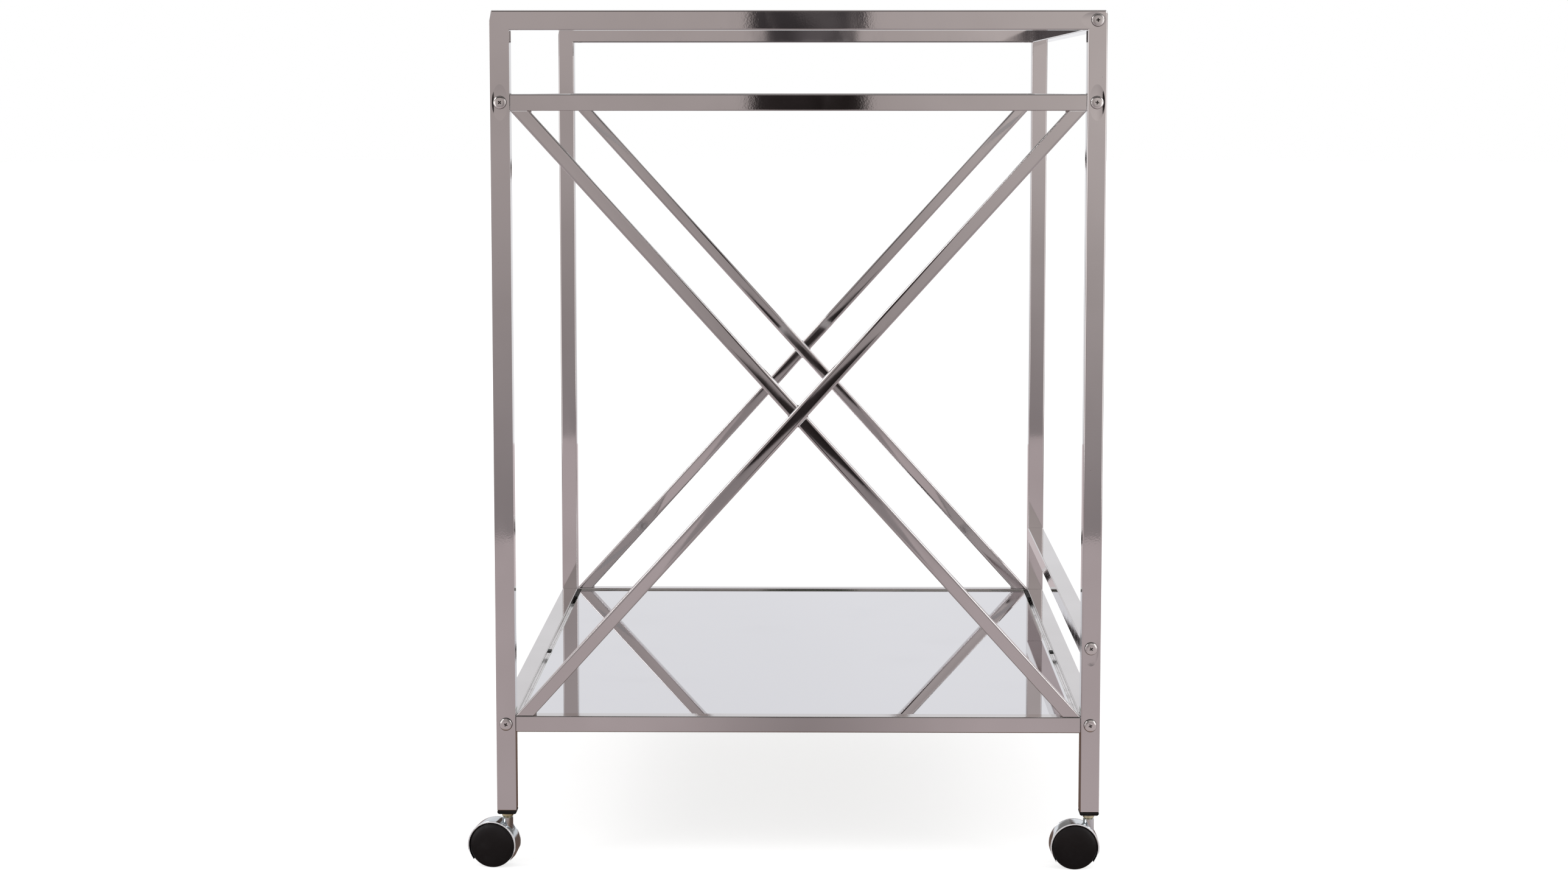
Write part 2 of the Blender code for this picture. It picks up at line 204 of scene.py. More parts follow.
# The studio: a room that only reflections see, and a floor
ROOM_X = (-3.2, 2.6)
ROOM_Y = (-2.8, 2.8)
ROOM_HEIGHT = 3.0
LAMP_GLOW = (1.75, 1.7, 1.7)
LAMP_TOP = (0.95, 1.10)  # the lamp panels fade out between these heights
DARK_GLOW = (0.03, 0.027, 0.027)
SOMEONE_Y = 0.015  # where the dark figure before the wall stands
LIGHT_AIM = (0, 0, 0.4)
FLOOR_RADIUS = 30
FLOOR_SIDES = 96


# ---------------------------------------------------------------- mesh helpers


def piece(name, bm, *materials):
    """An object of the bmesh, in the CAD model's frame."""
    bmesh.ops.recalc_face_normals(bm, faces=bm.faces)
    mesh = bpy.data.meshes.new(name)
    bm.to_mesh(mesh)
    bm.free()
    obj = bpy.data.objects.new(name, mesh)
    bpy.context.scene.collection.objects.link(obj)
    for material in materials:
        mesh.materials.append(material)
    return obj


def applied(obj):
    """Replaces the object's mesh by what its modifiers make of it."""
    graph = bpy.context.evaluated_depsgraph_get()
    mesh = bpy.data.meshes.new_from_object(obj.evaluated_get(graph))
    obj.modifiers.clear()
    obj.data = mesh
    return obj


def smoothed(obj, degrees):
    """Shades the object smooth, apart from edges sharper than so many degrees."""
    obj.data.shade_smooth()
    obj.data.set_sharp_from_angle(angle=math.radians(degrees))
    return obj


def extruded(outline, low, high):
    """A bmesh of a YZ outline extruded along X."""
    bm = bmesh.new()
    face = bm.faces.new([bm.verts.new((low, y, z)) for y, z in outline])
    made = bmesh.ops.extrude_face_region(bm, geom=[face])["geom"]
    moved = [item for item in made if isinstance(item, bmesh.types.BMVert)]
    bmesh.ops.translate(bm, vec=(high - low, 0, 0), verts=moved)
    bmesh.ops.recalc_face_normals(bm, faces=bm.faces)
    return bm


def box(low, high):
    """A bmesh of the box between two corners."""
    outline = [(low.y, low.z), (high.y, low.z), (high.y, high.z), (low.y, high.z)]
    return extruded(outline, low.x, high.x)


def rounded(obj, width, width_of=None, segments=4):
    """Rounds the sharp edges, each by width_of(start, end), and keeps the flats' shading flat."""
    bm = bmesh.new()
    bm.from_mesh(obj.data)
    layer = bm.edges.layers.float.new("bevel_weight_edge")
    for edge in bm.edges:
        if edge.calc_face_angle(0) > SHARP_EDGE:
            edge[layer] = width_of(*(vert.co for vert in edge.verts)) / width if width_of else 1.0
            edge.smooth = True
    for face in bm.faces:
        face.smooth = True
    bm.to_mesh(obj.data)
    bm.free()
    bevel = obj.modifiers.new("rounding", "BEVEL")
    bevel.width = width
    bevel.segments = segments
    bevel.limit_method = "WEIGHT"
    bevel.harden_normals = True
    bevel.use_clamp_overlap = False
    return applied(obj)


def along_bar(width):
    """Rounds a bar's long edges by the width, and the edges of its ends less."""
    return lambda start, end: width if (end - start).length > LONG_EDGE else END_ROUND


def turned(profile, steps=ROUND_STEPS):
    """A bmesh of a profile of (radius, height) points spun about Z, from axis to axis."""
    bm = bmesh.new()
    verts = [bm.verts.new((radius, 0, height)) for radius, height in profile]
    edges = [bm.edges.new(pair) for pair in zip(verts, verts[1:])]
    bmesh.ops.spin(
        bm, geom=verts + edges, axis=(0, 0, 1), cent=(0, 0, 0),
        steps=steps, angle=math.tau, use_merge=True,
    )
    bmesh.ops.remove_doubles(bm, verts=bm.verts, dist=SAME_PLACE)
    bmesh.ops.recalc_face_normals(bm, faces=bm.faces)
    return bm


def lofted(rings):
    """A bmesh that joins closed rings of points, each of as many points, and closes both ends."""
    bm = bmesh.new()
    loops = [[bm.verts.new(point) for point in ring] for ring in rings]
    bm.faces.new(loops[0])
    bm.faces.new(loops[-1])
    for first, second in zip(loops, loops[1:]):
        for i in range(len(first)):
            j = (i + 1) % len(first)
            bm.faces.new((first[i], first[j], second[j], second[i]))
    bmesh.ops.recalc_face_normals(bm, faces=bm.faces)
    return bm


def arc(centre, radius, start, end, steps):
    """Points of a circle's arc, from one angle to another, both in radians."""
    angles = [start + (end - start) * i / steps for i in range(steps + 1)]
    return [(centre[0] + radius * math.cos(a), centre[1] + radius * math.sin(a)) for a in angles]


def combined(obj, operation, bm):
    """Joins the bmesh to the object, or cuts it off, and clears the slivers that this leaves."""
    helper = piece(f"{obj.name}_helper", bm)
    modifier = obj.modifiers.new(operation.lower(), "BOOLEAN")
    modifier.operation = operation
    modifier.solver = "EXACT"
    modifier.object = helper
    applied(obj)
    bpy.data.objects.remove(helper, do_unlink=True)
    bm = bmesh.new()
    bm.from_mesh(obj.data)
    bmesh.ops.dissolve_degenerate(bm, dist=SLIVER_WIDTH, edges=bm.edges)
    bm.to_mesh(obj.data)
    bm.free()
    return obj


def placed(obj, matrix, body, slot, *nodes):
    """Moves the piece's mesh to its place, puts it on its body and hides the CAD nodes that it
    stands for.
    """
    obj.data.transform(matrix)
    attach(obj, body)
    if nodes:
        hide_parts(*nodes)
    return obj


def on_frame(obj, slot, *nodes):
    """Says that the piece, which is already in its place, rides on the frame."""
    return placed(obj, Matrix.Identity(4), "cart_frame", slot, *nodes)


# ------------------------------------------------------------------- materials


class Material:
    """A node material with a Principled BSDF, and short ways to wire noises into it."""

    def __init__(self, name, **settings):
        self.material = bpy.data.materials.new(name)
        self.material.use_nodes = True
        self.tree = self.material.node_tree
        self.shader = self.tree.nodes["Principled BSDF"]
        for label, value in settings.items():
            self.shader.inputs[label.replace("_", " ")].default_value = value
        self.coordinates = self.tree.nodes.new("ShaderNodeTexCoord").outputs["Object"]

    def noise(self, scale, detail=2.0, stretch=(1, 1, 1)):
        """A noise of so many features to a metre."""
        mapping = self.tree.nodes.new("ShaderNodeMapping")
        mapping.inputs["Scale"].default_value = stretch
        self.tree.links.new(self.coordinates, mapping.inputs["Vector"])
        noise = self.tree.nodes.new("ShaderNodeTexNoise")
        noise.inputs["Scale"].default_value = scale
        noise.inputs["Detail"].default_value = detail
        self.tree.links.new(mapping.outputs["Vector"], noise.inputs["Vector"])
        return noise.outputs["Fac"]

    def ranged(self, value, low, high, to_low, to_high):
        """The value's stretch from low to high, mapped smoothly onto another."""
        node = self.tree.nodes.new("ShaderNodeMapRange")
        node.interpolation_type = "SMOOTHSTEP"
        labels = ("From Min", "From Max", "To Min", "To Max")
        for label, number in zip(labels, (low, high, to_low, to_high)):
            node.inputs[label].default_value = number
        self.tree.links.new(value, node.inputs["Value"])
        return node.outputs["Result"]

    def mixed(self, factor, first, second):
        """A colour between two, each a colour or a socket."""
        node = self.tree.nodes.new("ShaderNodeMix")
        node.data_type = "RGBA"
        self.tree.links.new(factor, node.inputs["Factor"])
        for label, colour in (("A", first), ("B", second)):
            socket = next(s for s in node.inputs if s.name == label and s.type == "RGBA")
            if isinstance(colour, tuple):
                socket.default_value = (*colour, 1.0)
            else:
                self.tree.links.new(colour, socket)
        return next(s for s in node.outputs if s.type == "RGBA")

    def calculated(self, operation, first, second=0.0):
        """What a Math node makes of two values, each a number or a socket."""
        node = self.tree.nodes.new("ShaderNodeMath")
        node.operation = operation
        for socket, value in zip(node.inputs, (first, second)):
            if isinstance(value, float):
                socket.default_value = value
            else:
                self.tree.links.new(value, socket)
        return node.outputs["Value"]

    def product(self, first, second):
        """Two values, each a number or a socket, multiplied."""
        return self.calculated("MULTIPLY", first, second)

    def away(self, value, middle):
        """How far the value is from the middle, on either side."""
        return self.calculated("ABSOLUTE", self.calculated("SUBTRACT", value, middle))

    def band(self, value, middle, half, soft):
        """1 within half of the middle, falling smoothly to 0 over the soft edge."""
        return self.ranged(self.away(value, middle), half, half + soft, 1, 0)

    def bumped(self, *layers):
        """Bumps of (height, depth in metres), one on top of another."""
        normal = None
        for height, depth in layers:
            node = self.tree.nodes.new("ShaderNodeBump")
            node.inputs["Distance"].default_value = depth
            self.tree.links.new(height, node.inputs["Height"])
            if normal:
                self.tree.links.new(normal, node.inputs["Normal"])
            normal = node.outputs["Normal"]
        self.tree.links.new(normal, self.shader.inputs["Normal"])

    def wire(self, label, socket):
        """Wires a socket into one of the shader's inputs."""
        self.tree.links.new(socket, self.shader.inputs[label])


def plated(
    name, pale, dark, roughness, peel=0.0000045, waviness=0.00006, lean=0.0, grain=0.0, **settings
):
    """Polished plating: a slow drift of tone, faint wipe marks, orange peel and a rare pit.

    A lean is how many radians its faces look up above LEAN_FROM, and a grain is the depth of
    brush marks.
    """
    made = Material(name, **{"Metallic": 1.0, **settings})
    tone = made.mixed(made.ranged(made.noise(7, 3), 0.35, 0.65, 0, 1), pale, dark)
    pits = made.ranged(made.noise(330, 1), 0.81, 0.88, 0, 1)
    made.wire("Base Color", made.mixed(pits, tone, tuple(PIT_TONE * c for c in dark)))
    wipes = made.noise(38, 4, (1, 1, 0.35))
    wiped = made.ranged(wipes, 0.45, 0.75, roughness, roughness * WIPED_ROUGHNESS)
    made.wire("Roughness", made.calculated("ADD", wiped, made.product(pits, PIT_ROUGHNESS)))
    layers = [(made.noise(620, 1), peel), (made.noise(12, 1), waviness)]
    if grain:
        layers.append((made.noise(1800, 2, (1, 0.12, 0.12)), grain))
    if lean:
        split = made.tree.nodes.new("ShaderNodeSeparateXYZ")
        made.tree.links.new(made.coordinates, split.inputs["Vector"])
        raised = made.calculated("MAXIMUM", split.outputs["Z"], LEAN_FROM)
        layers.append((made.product(raised, -1.0), lean))
    made.bumped(*layers)
    return made.material


def mirror_glass():
    """A silvered face with faint wipe marks and a little dust."""
    made = Material("mirror_glass", Metallic=1.0)
    smudge = made.ranged(made.noise(9, 5), 0.5, 0.8, 0, 1)
    made.wire("Base Color", made.mixed(smudge, (0.685, 0.685, 0.715), (0.665, 0.665, 0.695)))
    dust = made.ranged(made.noise(900, 1), 0.74, 0.78, 0, 0.10)
    made.wire("Roughness", made.calculated("ADD", dust, made.ranged(smudge, 0, 1, 0.004, 0.03)))
    return made.material


def glass_edge():
    """The pane's ground edge, greenish and a little rough."""
    made = Material("glass_edge", IOR=1.52, Coat_Weight=1.0, Coat_Roughness=0.05)
    made.wire("Base Color", made.mixed(made.noise(60, 3), (0.20, 0.30, 0.22), (0.42, 0.50, 0.38)))
    made.wire("Roughness", made.ranged(made.noise(300, 2), 0.3, 0.7, 0.10, 0.30))
    return made.material


def mirror_back():
    """The grey paint behind the silver."""
    made = Material("mirror_back")
    made.wire("Base Color", made.mixed(made.noise(140, 5), (0.22, 0.22, 0.21), (0.29, 0.28, 0.27)))
    made.wire("Roughness", made.ranged(made.noise(300, 2), 0.3, 0.7, 0.45, 0.65))
    made.bumped((made.noise(500, 4), 0.00004))
    return made.material


def plastic(name, dark, pale, roughness, grain=0.00002):
    """Moulded plastic: a fine grain, faint handling marks and a little unevenness of tone."""
    made = Material(name, IOR=1.48, Specular_IOR_Level=0.25)
    made.wire("Base Color", made.mixed(made.ranged(made.noise(90, 5), 0.4, 0.75, 0, 1), dark, pale))
    made.wire("Roughness", made.ranged(made.noise(260, 4), 0.5, 0.75, roughness, roughness + 0.18))
    made.bumped((made.noise(2600, 3), grain), (made.noise(120, 2), 2 * grain))
    return made.material


def make_materials():
    """All the object's materials, by short names."""
    pale, dark = (0.575, 0.552, 0.550), (0.535, 0.512, 0.508)
    return {
        "chrome": plated("frame_chrome", pale, dark, 0.035),
        "calm": plated("frame_chrome_calm", pale, dark, 0.035, 0.0000012, 0.00003, lean=0.0055),
        "brace": plated("brace_chrome", pale, dark, 0.04, 0.0000012, 0.0003),
        # a brighter copy of the plating for the ledge's top: a painted sheen that stands in for its
        # bright reflection
        "ledge": plated("ledge_plating_painted_sheen", (0.88, 0.86, 0.86), (0.82, 0.80, 0.80), 0.16),
        "hood": plated(
            "hood_chrome", (0.68, 0.72, 0.745), (0.54, 0.58, 0.605), 0.11, grain=0.000003
        ),
        "rim": plated(
            "hood_rim_chrome", (0.82, 0.82, 0.84), (0.74, 0.74, 0.76), 0.20, Metallic=0.55
        ),
        "weld": plated("weld_chrome", (0.46, 0.43, 0.42), (0.26, 0.23, 0.22), 0.22),
        "bolt": plated("bolt_steel", (0.66, 0.64, 0.63), (0.56, 0.54, 0.53), 0.14),
        # dark steel as painted shade, for the bolts' recesses and the gap under their rims
        "recess": plated("recess_steel", (0.12, 0.11, 0.11), (0.06, 0.055, 0.05), 0.35),
        "zinc": plated("stem_zinc", (0.68, 0.65, 0.46), (0.54, 0.50, 0.32), 0.22),
        "mirror": mirror_glass(),
        "edge": glass_edge(),
        "back": mirror_back(),
        "plug": plastic(
            "plug_plastic", (0.0055, 0.0045, 0.0045), (0.009, 0.0075, 0.0075), 0.42
        ),
        "wheel": plastic(
            "wheel_plastic", (0.0050, 0.0040, 0.0044), (0.0062, 0.0052, 0.0056), 0.30, 0.000008
        ),
        "rubber": plastic("spacer_rubber", (0.006, 0.006, 0.006), (0.011, 0.011, 0.011), 0.6),
    }


# --------------------------------------------------------------- the end frames


def dish_cutter(face, end, middle, half_y, half_z):
    """A shallow bowl on the face at X, with half-axes along Y and Z, to cut off the leg's wall."""
    profile = [
        (DISH_REACH * i / DISH_RINGS, -DISH_DEPTH * (1 - (i / DISH_RINGS) ** 2))
        for i in range(DISH_RINGS + 1)
    ]
    bowl = turned(profile + [(DISH_REACH * DISH_FLARE, DISH_DEPTH), (0, DISH_DEPTH)])
    stretch = Matrix.Diagonal((half_z / DISH_REACH, half_y / DISH_REACH, 1, 1))
    turn = Matrix.Rotation(end * QUARTER, 4, "Y")
    bowl.transform(Matrix.Translation((face, *middle)) @ turn @ stretch)
    return bowl


def sharpen_rims(obj, face):
    """Marks the edges where a dish meets the flat wall, too blunt to be found by their angle."""
    bm = bmesh.new()
    bm.from_mesh(obj.data)
    for edge in bm.edges:
        on_face = all(abs(vert.co.x - face) < SAME_PLACE for vert in edge.verts)
        edge.smooth = not (on_face and edge.calc_face_angle(0) > DISH_RIM_ANGLE)
    bm.to_mesh(obj.data)
    bm.free()


def bolt_nodes(ending=""):
    """The names of the bolts' CAD nodes, or of those whose names have this ending."""
    nodes = frame["nodes"]
    return sorted(name for name in nodes if name.startswith("bolt_") and name.endswith(ending))


def end_frame_outline(low, high, top):
    """The YZ outline of an end frame: both legs and the top rail, with ground-off corners."""
    tube = high.x - low.x
    inset, drop = CORNER_CUTS["front"]
    outline = [(low.y, low.z), (low.y, top - drop), (low.y + inset, top)]
    inset, drop = CORNER_CUTS["back"]
    outline += [(high.y - inset, top), (high.y, top - drop), (high.y, low.z)]
    inner_low, inner_high, under = low.y + tube, high.y - tube, top - tube
    return outline + [
        (inner_high, low.z), (inner_high, under), (inner_low, under), (inner_low, low.z)
    ]


def make_end_frame(looks, side, end):
    """Both legs and the top rail of one end: welded at the corners and polished into one."""
    low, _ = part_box(f"front_leg_{side}")
    _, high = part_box(f"back_leg_{side}")
    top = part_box(f"top_rail_{side}")[1].z
    chrome = looks["chrome" if end > 0 else "calm"]
    outline = end_frame_outline(low, high, top)
    obj = piece(f"end_frame_{side}", extruded(outline, low.x, high.x), chrome)
    face = high.x if end > 0 else low.x
    for node in bolt_nodes(f"_{side}"):
        bolt_low, bolt_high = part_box(node)
        middle = ((bolt_low.y + bolt_high.y) / 2, (bolt_low.z + bolt_high.z) / 2)
        half_axes = (DISH_REACH, DISH_LENGTH)
        if middle[1] + DISH_LENGTH > top:
            middle = (middle[0] - math.copysign(CORNER_DISH_SHIFT, middle[0]), middle[1])
            half_axes = (CORNER_DISH_LENGTH, DISH_REACH)
        combined(obj, "DIFFERENCE", dish_cutter(face, end, middle, *half_axes))
    sharpen_rims(obj, face)

    def width_of(first, second):
        if abs(second.x - first.x) > (high.x - low.x) / 2:
            return CORNER_ROUND
        return END_ROUND if max(first.z, second.z) < low.z + END_ROUND else TUBE_ROUND

    rounded(obj, TUBE_ROUND, width_of)
    on_frame(obj, "frame_chrome", f"front_leg_{side}", f"back_leg_{side}", f"top_rail_{side}")


def make_bar(looks, node):
    """A straight tube of the frame, the size of its CAD node's box."""
    obj = piece(f"{node}_tube", box(*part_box(node)), looks["chrome"])
    rounded(obj, RAIL_ROUND, along_bar(RAIL_ROUND))
    on_frame(obj, "frame_chrome", node)


def brace_section(half):
    """(x, distance across) points of a rounded square whose faces sink, as rolled tube does."""
    points = []
    flat = half - BRACE_ROUND
    shares = [2 * i / BRACE_STEPS - 1 for i in range(BRACE_STEPS)]
    side = [(half - BRACE_SUNK * (1 - share**2), flat * share) for share in shares]
    corner = arc((flat, flat), BRACE_ROUND, 0, QUARTER, BRACE_CORNER_STEPS)[:-1]
    for quarter in range(4):
        turn = Matrix.Rotation(quarter * QUARTER, 2)
        points += [turn @ Vector(point) for point in side + corner]
    return points


def brace_tube(outline, low, high):
    """A bmesh of a brace: its section carried from one slanted end of the outline to the other."""
    middle, half = (low + high) / 2, (high - low) / 2
    start_near, start_far, end_far, end_near = (Vector(point) for point in outline)
    rings = []
    for near, far in ((start_near, start_far), (end_near, end_far)):
        places = [(x, near.lerp(far, (across / half + 1) / 2)) for x, across in brace_section(half)]
        rings.append([(middle + x, place.x, place.y) for x, place in places])
    return lofted(rings)


def crossing(line_a, line_b):
    """Where two lines of the YZ plane cross."""
    return tuple(intersect_line_line_2d(*(Vector(p) for p in (*line_a, *line_b))))


def shifted(line, amount):
    """The line of the YZ plane moved sideways along Y."""
    return [(y + amount, z) for y, z in line]


def brace_outlines(side, end):
    """The YZ outlines of one end's braces, by node: one whole, and one that it parts in two."""
    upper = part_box(f"upper_cross_rail_{side}")
    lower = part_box(f"lower_cross_rail_{side}")
    low = lower[1].z + BRACE_GAP
    high = upper[0].z - BRACE_GAP
    middle = (upper[0].y + upper[1].y) / 2
    reach = upper[1].y - middle
    near = [(-reach, low), (reach - BRACE_FOOT, high)]
    far = [(-reach + BRACE_FOOT, low), (reach, high)]
    other_near = [(-y, z) for y, z in far]
    other_far = [(-y, z) for y, z in near]
    above = shifted(near, -2 * BRACE_GAP)
    below = shifted(far, 2 * BRACE_GAP)
    outlines = {
        "brace": [near[0], far[0], far[1], near[1]],
        "brace_upper_half": [
            crossing(other_near, above), crossing(other_far, above), other_far[1], other_near[1]
        ],
        "brace_lower_half": [
            other_near[0], other_far[0], crossing(other_far, below), crossing(other_near, below)
        ],
    }
    return {
        f"{name}_{side}": [(middle + end * y, z) for y, z in points]
        for name, points in outlines.items()
    }


def make_bead(centre, low, high, radius):
    """A short weld bead along X: a rippled rod with rounded ends."""
    rings = []
    for i in range(BEAD_RINGS + 1):
        share = i / BEAD_RINGS
        fullness = max(BEAD_END, math.sin(math.pi * share)) ** BEAD_FULLNESS
        ripple = 1 + BEAD_RIPPLE * math.sin(BEAD_HALF_WAVES * math.pi * share)
        circle = arc(centre, radius * fullness * ripple, 0, math.tau, BEAD_SIDES)[:-1]
        rings.append([(low + (high - low) * share, y, z) for y, z in circle])
    return lofted(rings)


def joined(*parts):
    """One bmesh of several that don't touch."""
    whole = bmesh.new()
    for part in parts:
        mesh = bpy.data.meshes.new("part")
        part.to_mesh(mesh)
        part.free()
        whole.from_mesh(mesh)
        bpy.data.meshes.remove(mesh)
    return whole


def make_braces(looks, side, end):
    """One end's X of tubes, and the weld beads at their feet and where they cross."""
    outlines = brace_outlines(side, end)
    for node, outline in outlines.items():
        low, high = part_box(node)
        obj = piece(f"{node}_tube", brace_tube(outline, low.x, high.x), looks["brace"])
        on_frame(smoothed(obj, degrees=40), "frame_chrome", node)
    whole = outlines[f"brace_{side}"]
    upper = outlines[f"brace_upper_half_{side}"]
    lower = outlines[f"brace_lower_half_{side}"]
    low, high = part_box(f"brace_{side}")
    inset = (high.x - low.x) * BEAD_INSET
    middle_z = (whole[0][1] + whole[2][1]) / 2
    beads = []
    for y, z in (whole[1], whole[3], upper[2], lower[0]):
        z += math.copysign(BEAD_SUNK * FOOT_BEAD, middle_z - z)
        beads.append(make_bead((y, z), low.x + inset, high.x - inset, FOOT_BEAD))
    beads += [
        make_bead(point, low.x + 2 * inset, high.x - 2 * inset, CROSSING_BEAD)
        for point in (upper[0], upper[1], lower[2], lower[3])
    ]
    welds = piece(f"brace_welds_{side}", joined(*beads), looks["weld"])
    on_frame(smoothed(welds, degrees=60), "frame_chrome")


# --------------------------------------------------------- long rails and shelves


def make_shelf_rail(looks, facing, sign, level):
    """A bolted shelf rail with the ledge that carries the pane."""
    node = f"{facing}_{level}_rail"
    low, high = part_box(node)
    leg_low, leg_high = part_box(f"{facing}_leg_right")
    tube = leg_high.y - leg_low.y
    outer, tip = (low.y, high.y) if sign < 0 else (high.y, low.y)
    inner = outer - sign * tube
    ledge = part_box(f"{level}_mirror_shelf")[0].z - BRACE_GAP
    under = ledge - LEDGE_THICKNESS
    outline = [
        (outer, low.z), (inner, low.z), (inner, under), (tip, under),
        (tip, ledge), (inner, ledge), (inner, high.z), (outer, high.z),
    ]
    obj = piece(f"{node}_tube", extruded(outline, low.x, high.x), looks["chrome"], looks["ledge"])

    def width_of(first, second):
        if (second - first).length < LONG_EDGE:
            return END_ROUND
        on_ledge = under - END_ROUND < first.z < ledge + END_ROUND
        return LEDGE_ROUND if on_ledge else RAIL_ROUND

    rounded(obj, RAIL_ROUND, width_of)
    # The ledge's top faces get the brighter plating, a painted sheen.
    for polygon in obj.data.polygons:
        at_ledge = abs(polygon.center.z - ledge) < LEDGE_ROUND
        polygon.material_index = int(at_ledge and polygon.normal.z > LEDGE_TOP_TILT)
    on_frame(obj, "frame_chrome", node)


def make_pane(looks, level):
    """A mirror pane with ground edges: silvered on top, glass at the edges, painted below."""
    node = f"{level}_mirror_shelf"
    materials = (looks["mirror"], looks["edge"], looks["back"])
    obj = piece(f"{level}_mirror_pane", box(*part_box(node)), *materials)
    rounded(obj, GLASS_ARRIS, segments=2)
    for polygon in obj.data.polygons:
        tilt = polygon.normal.z
        polygon.material_index = 0 if tilt > PANE_FACE_TILT else 2 if tilt < -PANE_FACE_TILT else 1
    on_frame(obj, "mirror_glass", node)


def make_spacers(looks, level):
    """The rubber pieces that keep the pane off its long rails."""
    low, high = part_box(f"{level}_mirror_shelf")
    for facing, sign in FACINGS:
        _, rail_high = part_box(f"{facing}_{level}_rail")
        leg_low, leg_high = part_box(f"{facing}_leg_right")
        face = leg_high.y if sign < 0 else leg_low.y
        edge = low.y if sign < 0 else high.y
        near, far = sorted((face - sign * RUBBER_PLAY, edge + sign * RUBBER_PLAY))
        for number, (middle, length) in enumerate(SPACERS, 1):
            top = rail_high.z - RUBBER_DROP
            corners = (
                Vector((middle - length / 2, near, top - RUBBER_HEIGHT)),
                Vector((middle + length / 2, far, top)),
            )
            obj = piece(f"spacer_{facing}_{level}_{number}", box(*corners), looks["rubber"])
            rounded(obj, RUBBER_ROUND, segments=3)
            on_frame(obj, "plug_plastic")


# ------------------------------------------------------------------------ bolts


def make_bolt_head(looks, node, number):
    """A cross-recess pan head with a rolled rim, and the start of its shank; painted shade darkens
    its recess and the gap under its rim.
    """
    low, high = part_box(node)
    end = math.copysign(1, low.x + high.x)
    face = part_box("front_leg_right")[1].x
    reach = (high.y - low.y) / 2
    height = max(abs(low.x), abs(high.x)) - face
    rim = arc((1 - BOLT_RIM, 0), BOLT_RIM, QUARTER, 0, BOLT_RIM_STEPS)
    shank = BOLT_SHANK * reach
    profile = [(reach * across, height * up) for across, up in BOLT_CROWN]
    profile += [(reach * across, BOLT_RIM_STRETCH * height * up) for across, up in rim]
    profile += [(shank, 0), (shank, -reach), (0, -reach)]
    obj = piece(f"{node}_head", turned(profile), looks["bolt"], looks["recess"])
    for length, width in ((RECESS_REACH, RECESS_WIDTH), (RECESS_WIDTH, RECESS_REACH)):
        rings = []
        for z, share in zip((height - RECESS_DEPTH, height + RECESS_DEPTH), RECESS_TAPER):
            x, y = (size * share if size == RECESS_REACH else size / 2 for size in (length, width))
            rings.append([(-x, -y, z), (x, -y, z), (x, y, z), (-x, y, z)])
        combined(obj, "DIFFERENCE", lofted(rings))
    # The recess's faces and the rim's outermost faces get the painted shade.
    for polygon in obj.data.polygons:
        middle = polygon.center
        out = math.hypot(middle.x, middle.y)
        inside = out < RECESS_REACH * RECESS_MARGIN
        sunk = inside and height - 2 * RECESS_DEPTH < middle.z < height - RECESS_LIP
        polygon.material_index = int(sunk or out > BOLT_PAINTED_SHADE_FROM * reach)
    smoothed(obj, degrees=28)
    place = Matrix.Translation((end * face, (low.y + high.y) / 2, (low.z + high.z) / 2))
    turn = Matrix.Rotation(end * QUARTER, 4, "Y") @ Matrix.Rotation(number * BOLT_TURN, 4, "Z")
    placed(obj, place @ turn, "cart_frame", "bolt_steel", node)


# ---------------------------------------------------------------------- casters


def hood_path():
    """(angle, outer radius) points about the axle, from one tip of the hood to the other."""
    start = Vector((math.cos(HOOD_ARC_END), -math.sin(HOOD_ARC_END))) * HOOD_RADIUS
    tip = Vector((math.cos(HOOD_TIP_ANGLE), -math.sin(HOOD_TIP_ANGLE))) * HOOD_TIP_RADIUS
    slant = [tip.lerp(start, i / HOOD_TIP_STEPS) for i in range(HOOD_TIP_STEPS)]
    first = [(math.atan2(p.y, p.x), p.length) for p in slant]
    sweep = math.pi + 2 * HOOD_ARC_END
    angles = [-HOOD_ARC_END + sweep * i / HOOD_ARC_STEPS for i in range(HOOD_ARC_STEPS + 1)]
    middle = [(angle, HOOD_RADIUS) for angle in angles]
    last = [(math.pi - angle, radius) for angle, radius in reversed(first)]
    return first + middle + last


def about_axle(x, radius, angle):
    """The caster's own (x, y, z) of a point at this radius and angle about the axle."""
    return (x, -TRAIL + radius * math.cos(angle), WHEEL_RADIUS + radius * math.sin(angle))


def make_hood(looks, name, matrix, body):
    """The plated hood: two thin shells round the wheels, a web between them and the post on top."""
    full = HOOD_RADIUS - HOOD_POCKET
    half = [(x, full + rise) for x, rise in HOOD_SECTION]
    section = [(-x, height) for x, height in reversed(half)][:-1] + half
    path = hood_path()
    rings = []
    for angle, radius in path:
        band = radius - HOOD_POCKET
        rings.append([
            about_axle(x, HOOD_POCKET + height * band / full, angle) for x, height in section
        ])
    hood = piece(f"{name}_shell", lofted(rings), looks["hood"], looks["rim"])
    web = [about_axle(0, radius - full / 2, angle)[1:] for angle, radius in path]
    combined(hood, "UNION", extruded(web, -HOOD_WEB_HALF, HOOD_WEB_HALF))
    post = [
        (0, POST_BASE), (POST_RADIUS, POST_BASE), (POST_RADIUS, POST_TOP - POST_EDGE),
        (POST_RADIUS - POST_EDGE, POST_TOP), (0, POST_TOP),
    ]
    combined(hood, "UNION", turned(post))
    for polygon in hood.data.polygons:
        polygon.material_index = int(abs(polygon.center.x) > HOOD_RIM_START)
    placed(smoothed(hood, degrees=40), matrix, body, "hood_chrome", name)


